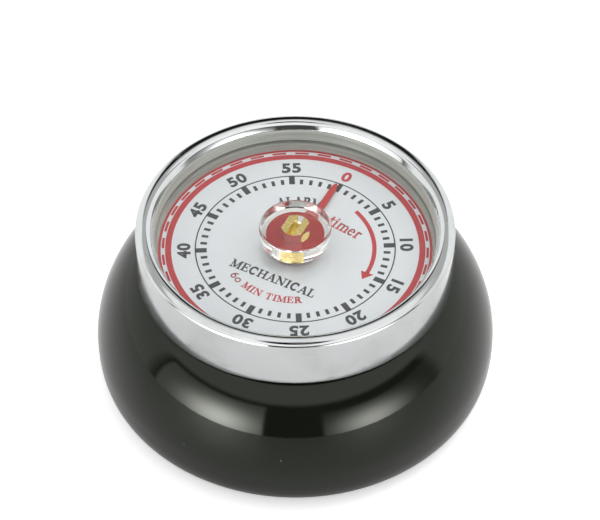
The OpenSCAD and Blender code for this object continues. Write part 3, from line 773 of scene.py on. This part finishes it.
# each letter is its advance and its strokes
letters = {
    "M": (1.3, [leg(0.2, 0, 0.2, 1), leg(0.22, 1, 0.62, 0.06, thick), leg(0.62, 0.06, 1.05, 1), stem(1.07),
                foot(0.2, 0), foot(1.07, 0), foot(0.12, 1, 0.12), foot(1.15, 1, 0.14)]),
    "E": (1.0, [stem(0.28), bar(1, 0.1, 0.86), bar(0.52, 0.28, 0.66), bar(0, 0.1, 0.88),
                leg(0.84, 1, 0.84, 0.74), leg(0.86, 0, 0.86, 0.28), leg(0.66, 0.4, 0.66, 0.64)]),
    "C": (1.05, [bowl(0.54, 0.5, 0.38, 0.48, 48, 312), leg(0.86, 1, 0.86, 0.68)]),
    "H": (1.2, [stem(0.28), stem(0.92), bar(0.52, 0.28, 0.92), foot(0.28, 0), foot(0.92, 0), foot(0.28, 1),
                foot(0.92, 1)]),
    "A": (1.1, [leg(0.2, 0, 0.54, 1), leg(0.54, 1, 0.9, 0, thick), bar(0.34, 0.3, 0.78), foot(0.19, 0, 0.16),
                foot(0.9, 0)]),
    "N": (1.2, [leg(0.22, 0, 0.22, 1), leg(0.2, 1, 0.96, 0.04, thick), leg(0.98, 0, 0.98, 1), foot(0.22, 0),
                foot(0.98, 1), foot(0.12, 1, 0.12)]),
    "I": (0.62, [stem(0.31), foot(0.31, 0), foot(0.31, 1)]),
    "L": (0.95, [stem(0.28), bar(0, 0.1, 0.82), leg(0.82, 0, 0.82, 0.3), foot(0.28, 1)]),
    "T": (1.05, [stem(0.52), bar(1, 0.1, 0.94), leg(0.12, 1, 0.12, 0.72), leg(0.92, 1, 0.92, 0.72),
                 foot(0.52, 0)]),
    "R": (1.1, [stem(0.28), bar(1, 0.1, 0.5), bowl(0.5, 0.74, 0.24, 0.24, 90, -90), bar(0.5, 0.3, 0.5),
                leg(0.52, 0.5, 0.9, 0.04, thick), foot(0.28, 0), foot(0.96, 0, 0.12)]),
    "6": (0.95, [bowl(0.48, 0.32, 0.3, 0.29, 0, 360, figure), bowl(0.72, 0.4, 0.54, 0.6, 96, 172, figure)]),
    "0": (1.0, [bowl(0.5, 0.36, 0.34, 0.33, 0, 360, figure)]),
    "t": (0.44, [stem(0.2, 0.1, 0.9, small), bar(0.64, 0.04, 0.4, 0.09),
                 bowl(0.32, 0.14, 0.12, 0.12, 180, 300, 0.1)]),
    "i": (0.38, [stem(0.19, 0, 0.66, small), stem(0.19, 0.84, 0.95, small), foot(0.19, 0, 0.14),
                 foot(0.13, 0.66, 0.08)]),
    "m": (1.0, [stem(0.18, 0, 0.66, small), stem(0.52, 0, 0.5, small), stem(0.86, 0, 0.5, small),
                bowl(0.37, 0.48, 0.16, 0.16, 160, 0, 0.11), bowl(0.7, 0.48, 0.16, 0.16, 160, 0, 0.11),
                foot(0.18, 0, 0.12), foot(0.52, 0, 0.12), foot(0.86, 0, 0.12)]),
    "e": (0.58, [bowl(0.3, 0.33, 0.2, 0.32, 10, 320, 0.13), bar(0.38, 0.12, 0.5, 0.08)]),
    "r": (0.5, [stem(0.2, 0, 0.66, small), bowl(0.36, 0.48, 0.14, 0.15, 160, 40, 0.13), foot(0.2, 0, 0.14)]),
    " ": (0.55, [])}


def penStroke(bm, place, points, width, top):
    for start, end in zip(points, points[1:]):
        start, end = Vector(start), Vector(end)
        along = (end - start).normalized() * width * penOverlap
        across = Vector((-along.y, along.x)).normalized() * width / 2
        start, end = start - along, end + along
        corners = [start - across, end - across, end + across, start + across]
        prism(bm, [place(*corner) for corner in corners], inkLow, top)


def penWord(bm, text, place, high, narrow, shift):
    here = -sum(letters[letter][0] for letter in text) / 2
    for letter in text:
        advance, strokes = letters[letter]
        for k, (points, width) in enumerate(strokes):
            penStroke(bm, lambda x, y: place((here + x) * high * narrow + shift, y * high), points, width,
                      inkTop + penLift * k)
        here += advance


# each word: text, how it stands, its angle, radius and height, how narrow it is, its shift along its
# line, and its ink
words = {"wordMiddle": ("MECHANICAL", inward, 208.0, 8.1, 1.72, 0.9, 0, inkBlack),
         "wordLower": ("60 MIN TIMER", inwardArc, 208.0, 12.25, 1.35, 0.94, 0, inkRed),
         "wordArched": ("ALARM", outwardArc, 4.0, 11.25, 1.9, 0.76, 0, inkBlack),
         "wordStraight": ("timer", upright, 35.5, 9.09, 2.3, 1.0, 4.23, inkRed)}
for name, (text, stand, angle, radius, high, narrow, shift, ink) in words.items():
    place = stand(angle, radius, high)
    printPiece(name, lambda bm: penWord(bm, text, place, high, narrow, shift), ink)
print("dial done")

# hand: pressed sheet with a round hub, and a boss that grips the arbor
hand = {"restAt": 26.2, "lowZ": 29.1, "sheet": 0.35, "hubR": 4.0, "neckHalf": 2.1, "bossR": 3.4,
        "bossZ": (29.3, 29.9), "boreR": 2.45, "ease": 0.07,
        "arm": [(6.5, 1.3), (7.4, 0.98), (8.2, 0.76), (9, 0.62), (15.4, 0.55), (16.35, 0.28), (16.5, 0.1)]}
turnToHand = Matrix.Rotation(math.radians(90 - hand["restAt"]), 2)


def handOutline():
    # hub circle and arm as one outline; the arm points along the rest angle
    hub = hand["hubR"]
    edge = math.asin(hand["neckHalf"] / hub)
    turns = [edge + (2 * math.pi - 2 * edge) * k / 96 for k in range(97)]
    points = [(hub * math.cos(a), hub * math.sin(a)) for a in turns]
    points += [(x, -y) for x, y in hand["arm"]] + hand["arm"][::-1]
    return [turnToHand @ Vector(p) for p in points]


def cutBore(bm):
    turnLoop(bm, [(0, cutBelow), (hand["boreR"], cutBelow), (hand["boreR"], cutAbove), (0, cutAbove)], 64)


bm = bmesh.new()
prism(bm, handOutline(), hand["lowZ"], hand["lowZ"] + hand["sheet"])
blade = finishMesh("handBlade", bm, handRed)
carve(blade, cutBore)
bevelEdges(blade, hand["ease"], 3)
link(blade, "setting_group", ["pointer"])
bossLow, bossHigh = hand["bossZ"]
link(turned("handBoss", outline([(hand["boreR"], bossLow), (hand["bossR"], bossLow),
                                 (hand["bossR"], bossHigh, 0.12), (hand["boreR"], bossHigh, 0.08)]),
            handRed, 96), "setting_group")

# setting arbor: turned brass with a flat-sided, slotted tip
arbor = {"r": 2.0, "headR": 2.45, "headZ": 27.5, "tipZ": 34.75, "neckZ": 31.25, "flats": 3.8,
         "slotWide": 1.25, "slotDeep": 2.0, "blockHalf": 4, "ease": 0.07,
         "pivot": [(0, 6.1), (1.5, 6.1, 0.1), (1.5, 6.35), (1.2, 6.35), (1.2, 6.85), (1.5, 6.85),
                   (1.5, 8.3)],
         "collar": [(2.0, 8.3, 0.1), (2.0, 12.2), (3.2, 12.2, 0.08), (3.2, 12.8), (2.0, 12.8)]}
shaft = turned("settingArbor", outline(arbor["pivot"] + arbor["collar"] + [
    (arbor["r"], arbor["headZ"]), (arbor["headR"], arbor["headZ"], 0.1), (arbor["headR"], arbor["tipZ"]),
    (0, arbor["tipZ"])]), arborBrass, 96)


def handBlock(bm, side0, side1, low, high):
    # block across the arbor, along the hand, between two distances to its side
    reach = arbor["blockHalf"]
    corners = [(-reach, side0), (reach, side0), (reach, side1), (-reach, side1)]
    prism(bm, [turnToHand @ Vector(p) for p in corners], low, high)


def cutFlats(bm):
    half = arbor["flats"] / 2
    handBlock(bm, half, arbor["blockHalf"], arbor["neckZ"], cutAbove)
    handBlock(bm, -arbor["blockHalf"], -half, arbor["neckZ"], cutAbove)


def cutSlot(bm):
    half = arbor["slotWide"] / 2
    handBlock(bm, -half, half, arbor["tipZ"] - arbor["slotDeep"], cutAbove)


carve(shaft, cutFlats)
carve(shaft, cutSlot)
bevelEdges(shaft, arbor["ease"], 2)
link(shaft, "setting_group", ["main_arbor"])

# knob: clear moulding, slightly wider at the top, with a flat-sided socket through it
knob = {"footR": 5.9, "topR": 6.35, "lowZ": 31.35, "topZ": 34.8, "footEase": 0.18, "topEase": 0.45,
        "socketR": 2.47, "socketFlats": 3.84}
knobLoop = outline([(0, knob["lowZ"]), (knob["footR"], knob["lowZ"], knob["footEase"]),
                    (knob["topR"], knob["topZ"], knob["topEase"]), (0, knob["topZ"])], 7)
grip = turned("knobBody", knobLoop, knobClear, 160)


def cutSocket(bm):
    reach = math.degrees(math.asin(knob["socketFlats"] / 2 / knob["socketR"]))
    points = arcPoints((0, 0), knob["socketR"], -reach, reach, 14)
    points += arcPoints((0, 0), knob["socketR"], 180 - reach, 180 + reach, 14)
    prism(bm, [turnToHand @ Vector(p) for p in points], cutBelow, cutAbove)


carve(grip, cutSocket)
link(grip, "setting_group", ["knob"])

# red washer between the knob and the lens, clear of both
washer = {"outerR": 5.05, "boreR": 2.5, "lowZ": 31.18, "topZ": 31.32, "ease": 0.03}
link(turned("knobBacking", outline([
    (washer["boreR"], washer["lowZ"]), (washer["outerR"], washer["lowZ"], washer["ease"]),
    (washer["outerR"], washer["topZ"], washer["ease"]), (washer["boreR"], washer["topZ"])]),
    backingRed, 128), "setting_group", ["knob_disc"])
print("hand, arbor and knob done")

# underside: moulded cover, rubber foot ring, magnet in a steel cup and three screws
base = {"coverBore": 12.85, "coverR": 28.1, "coverZ": (0.3, 1.5), "grooveR": (19.45, 22.55), "grooveZ": 0.7,
        "markR": (16.2, 16.6), "markDeep": 0.12, "markSlope": 0.1, "footR": (19.5, 22.5),
        "footZ": (0.0, 0.7), "footEase": 0.2, "magnetR": 12.0, "magnetZ": (0.0, 2.4), "cupR": 12.8,
        "cupZ": (0.1, 2.9)}
screw = {"headR": 1.6, "headZ": (0.35, 1.0), "shankR": 0.85, "shankZ": 4.6, "seatR": 1.7, "seatZ": 1.0,
         "holeR": 0.95, "slotHalf": 0.25, "slotZ": 0.68, "slotAngles": (20, 75, -35)}
coverLow, coverTop = base["coverZ"]
markIn, markOut = base["markR"]
markZ = coverLow + base["markDeep"]
cover = turned("baseCover", outline([
    (base["coverBore"], coverLow, 0.1), (base["coverBore"], coverTop), (base["coverR"], coverTop, 0.1),
    (base["coverR"], coverLow, 0.25),
    (base["grooveR"][1], coverLow, 0.08), (base["grooveR"][1], base["grooveZ"]),
    (base["grooveR"][0], base["grooveZ"]), (base["grooveR"][0], coverLow, 0.08),
    (markOut, coverLow, 0.05), (markOut - base["markSlope"], markZ),
    (markIn + base["markSlope"], markZ), (markIn, coverLow, 0.05)], 18), mouldedBlack, 224)


def cutScrewSeats(bm):
    low, high = coverLow - 1, coverTop + 1
    for at in bossPlaces():
        turnLoop(bm, [(0, low), (screw["seatR"], low), (screw["seatR"], screw["seatZ"]),
                      (screw["holeR"], screw["seatZ"]), (screw["holeR"], high), (0, high)], 48, at)


carve(cover, cutScrewSeats)
link(cover, "case", ["base_cover"])
(footIn, footOut), (footLow, footTop) = base["footR"], base["footZ"]
link(turned("footRing", outline([(footOut, footLow, base["footEase"]), (footOut, footTop), (footIn, footTop),
                                 (footIn, footLow, base["footEase"])]), footRubber, 192),
     "case", ["foot_ring"])
magnetR, (magnetLow, magnetTop) = base["magnetR"], base["magnetZ"]
link(turned("magnetDisc", outline([(0, magnetLow), (magnetR, magnetLow, 0.25), (magnetR, magnetTop),
                                   (0, magnetTop)]), ferrite, 160), "case", ["magnet"])
cupLow, cupTop = base["cupZ"]
link(turned("magnetCup", outline([(magnetR, cupLow, 0.1), (base["cupR"], cupLow, 0.25),
                                  (base["cupR"], cupTop, 0.4), (0, cupTop), (0, magnetTop),
                                  (magnetR, magnetTop)]), platedSteel, 160),
     "case", ["magnet_cup"])
bm = bmesh.new()
headLow, headTop = screw["headZ"]
for at in bossPlaces():
    turnLoop(bm, outline([(0, headLow), (screw["headR"], headLow, 0.2), (screw["headR"], headTop),
                          (screw["shankR"], headTop), (screw["shankR"], screw["shankZ"], 0.15),
                          (0, screw["shankZ"])]), 48, at)
screws = finishMesh("coverScrews", bm, platedSteel)


def cutScrewSlots(bm):
    half, reach = screw["slotHalf"], screw["headR"] + 0.4
    for turnBy, at in zip(screw["slotAngles"], bossPlaces()):
        spin = Matrix.Rotation(math.radians(turnBy), 2)
        corners = [(-reach, -half), (reach, -half), (reach, half), (-reach, half)]
        prism(bm, [Vector(at) + spin @ Vector(p) for p in corners], 0, screw["slotZ"])


carve(screws, cutScrewSlots)
link(screws, "case", ["base_screws"])
print("underside done")

# everything inside keeps its CAD shape and takes a worked finish
insideFinish = {"base_plastic": mouldedBlack, "foot_rubber": footRubber, "magnet_ferrite": ferrite,
                "zinc_steel": platedSteel, "case_enamel": caseEnamel, "bezel_chrome": bezelChrome,
                "ring_grey": ringGrey, "clear_acrylic": lensClear, "dial_white": dialWhite,
                "carrier_plastic": mouldedBlack, "plate_brass": sheetBrass, "bush_brass": arborBrass,
                "spring_steel": springSteel, "wheel_brass": sheetBrass, "staff_steel": hardSteel,
                "lever_steel": hardSteel, "bell_steel": bellPlate, "hand_red": handRed}
for part in nodes.values():
    slotName = part.data.materials[0].name
    part.data.materials.clear()
    part.data.materials.append(insideFinish[slotName])
print("inside finished")

# floor, light and camera
floorPaper = {"radius": 1500, "thick": 8, "pale": (0.88,) * 3, "deep": (0.86,) * 3, "glow": 0.4}
floorMaterial, tree, surface = newMaterial("floorPaper")
seen = addNode(tree, "LightPath").outputs["Is Camera Ray"]
grit = grain(tree, 1.0)
principled(tree, surface, {
    "Base Color": mixColour(tree, grit["Grain"], floorPaper["deep"], floorPaper["pale"]),
    "Roughness": 0.42, "Emission Color": (1.0, 1.0, 1.0, 1),
    "Emission Strength": times(tree, seen, floorPaper["glow"])})
bm = bmesh.new()
prism(bm, arcPoints((0, 0), floorPaper["radius"], 0, 358, 180), -floorPaper["thick"], 0)
floor = finishMesh("floor", bm, floorMaterial)
addToScene(floor)

# the room by direction: each patch is (seen from, sideways range, height range, softness, level), in
# degrees sideways from the near or the far side and above the floor; each panel of light is on the
# near side: (sideways range, height range, middle, spread, level at its edge, level at its middle)
room = {"fill": 1.24, "wall": 1.5, "panelSoft": (1.5, 3.0), "patches": [
    ("far", (-100, 100), (44, 54), (12, 0.8), 0.75),
    ("near", (-100, 100), (34, 95), (12, 6), 1.7),
    ("near", (-85, 85), (-95, 36), (6, 4), 0.1),
    ("far", (-18, 18), (13, 43.5), (3, 1.5), 0.02),
    ("near", (-185, 185), (81, 95), (1, 2), 0.01)],
    "panels": [((-80, -17), (-25, 31), (-41, 6), (17, 13), 1.4, 21.0),
               ((14.5, 88), (-25, 24), (40, 4), (16, 12), 0.3, 14.0)]}
world = bpy.data.worlds.new("studio")
bpy.context.scene.world = world
world.use_nodes = True
tree = world.node_tree
tree.nodes.clear()
where = addNode(tree, "TexCoord").outputs["Generated"]
ray = addNode(tree, "SeparateXYZ", {"Vector": where}).outputs
mirrored = addNode(tree, "LightPath").outputs["Is Glossy Ray"]


def degrees(operation, *sockets):
    return math2(tree, "DEGREES", math2(tree, operation, *sockets))


elevation = degrees("ARCSINE", ray["Z"])
sideways = {"far": degrees("ARCTAN2", ray["X"], ray["Y"]),
            "near": degrees("ARCTAN2", ray["X"], times(tree, ray["Y"], -1.0))}


def within(side, azimuths, heights, softness):
    # 1 inside the window, 0 outside, with soft sides
    windows = []
    for value, (low, high), soft in zip((sideways[side], elevation), (azimuths, heights), softness):
        windows.append(times(tree, remap(tree, value, low - soft, low + soft, 0, 1),
                             remap(tree, value, high - soft, high + soft, 1, 0)))
    return times(tree, *windows)


def fallOff(value, centre, width):
    return math2(tree, "POWER", math2(tree, "DIVIDE", math2(tree, "SUBTRACT", value, centre), width), 2.0)


level = room["wall"]
for side, azimuths, heights, softness, value in room["patches"]:
    inside = within(side, azimuths, heights, softness)
    level = remap(tree, inside, 0.0, 1.0, level, value, "LINEAR")
for azimuths, heights, (azMid, elMid), (azWide, elWide), edge, peak in room["panels"]:
    inside = times(tree, within("near", azimuths, heights, room["panelSoft"]), mirrored)
    away = plus(tree, fallOff(sideways["near"], azMid, azWide), fallOff(elevation, elMid, elWide))
    glow = math2(tree, "EXPONENT", times(tree, away, -1.0))
    level = plus(tree, level, times(tree, inside, remap(tree, glow, 0.0, 1.0, edge, peak, "LINEAR")))
# matt surfaces take an even fill, so shadows stay soft on every side
level = remap(tree, mirrored, 0.0, 1.0, room["fill"], level, "LINEAR")
background = addNode(tree, "Background", {"Color": (1.0, 1.0, 1.0, 1), "Strength": level})
tree.links.new(background.outputs[0], addNode(tree, "OutputWorld").inputs["Surface"])

overhead = {"size": 0.7, "at": (0.45, 0.25, 0.9), "power": 3.0}
lamp = bpy.data.lights.new("overheadPanel", "AREA")
lamp.shape, lamp.size, lamp.energy = "SQUARE", overhead["size"], overhead["power"]
panel = bpy.data.objects.new("overheadPanel", lamp)
panel.location = overhead["at"]
panel.rotation_euler = (-Vector(overhead["at"])).to_track_quat("-Z", "Y").to_euler()
panel.visible_camera = False
panel.visible_glossy = False
panel.visible_transmission = False
addToScene(panel)

camera = {"from": (0.0, -465.4, 525.3), "at": (0.83, 5.05, 20.6), "lens": 235.4}
lensData = bpy.data.cameras.new("viewer")
lensData.lens, lensData.sensor_width = camera["lens"], 36.0
lensData.clip_start, lensData.clip_end = 0.01, 10.0
viewer = bpy.data.objects.new("viewer", lensData)
viewer.location = Vector(camera["from"]) * mm
aim = Vector(camera["at"]) * mm - viewer.location
viewer.rotation_euler = aim.to_track_quat("-Z", "Y").to_euler()
addToScene(viewer)
bpy.context.scene.camera = viewer
bpy.context.scene.view_settings.view_transform = "Standard"
print("stage, light and camera done")
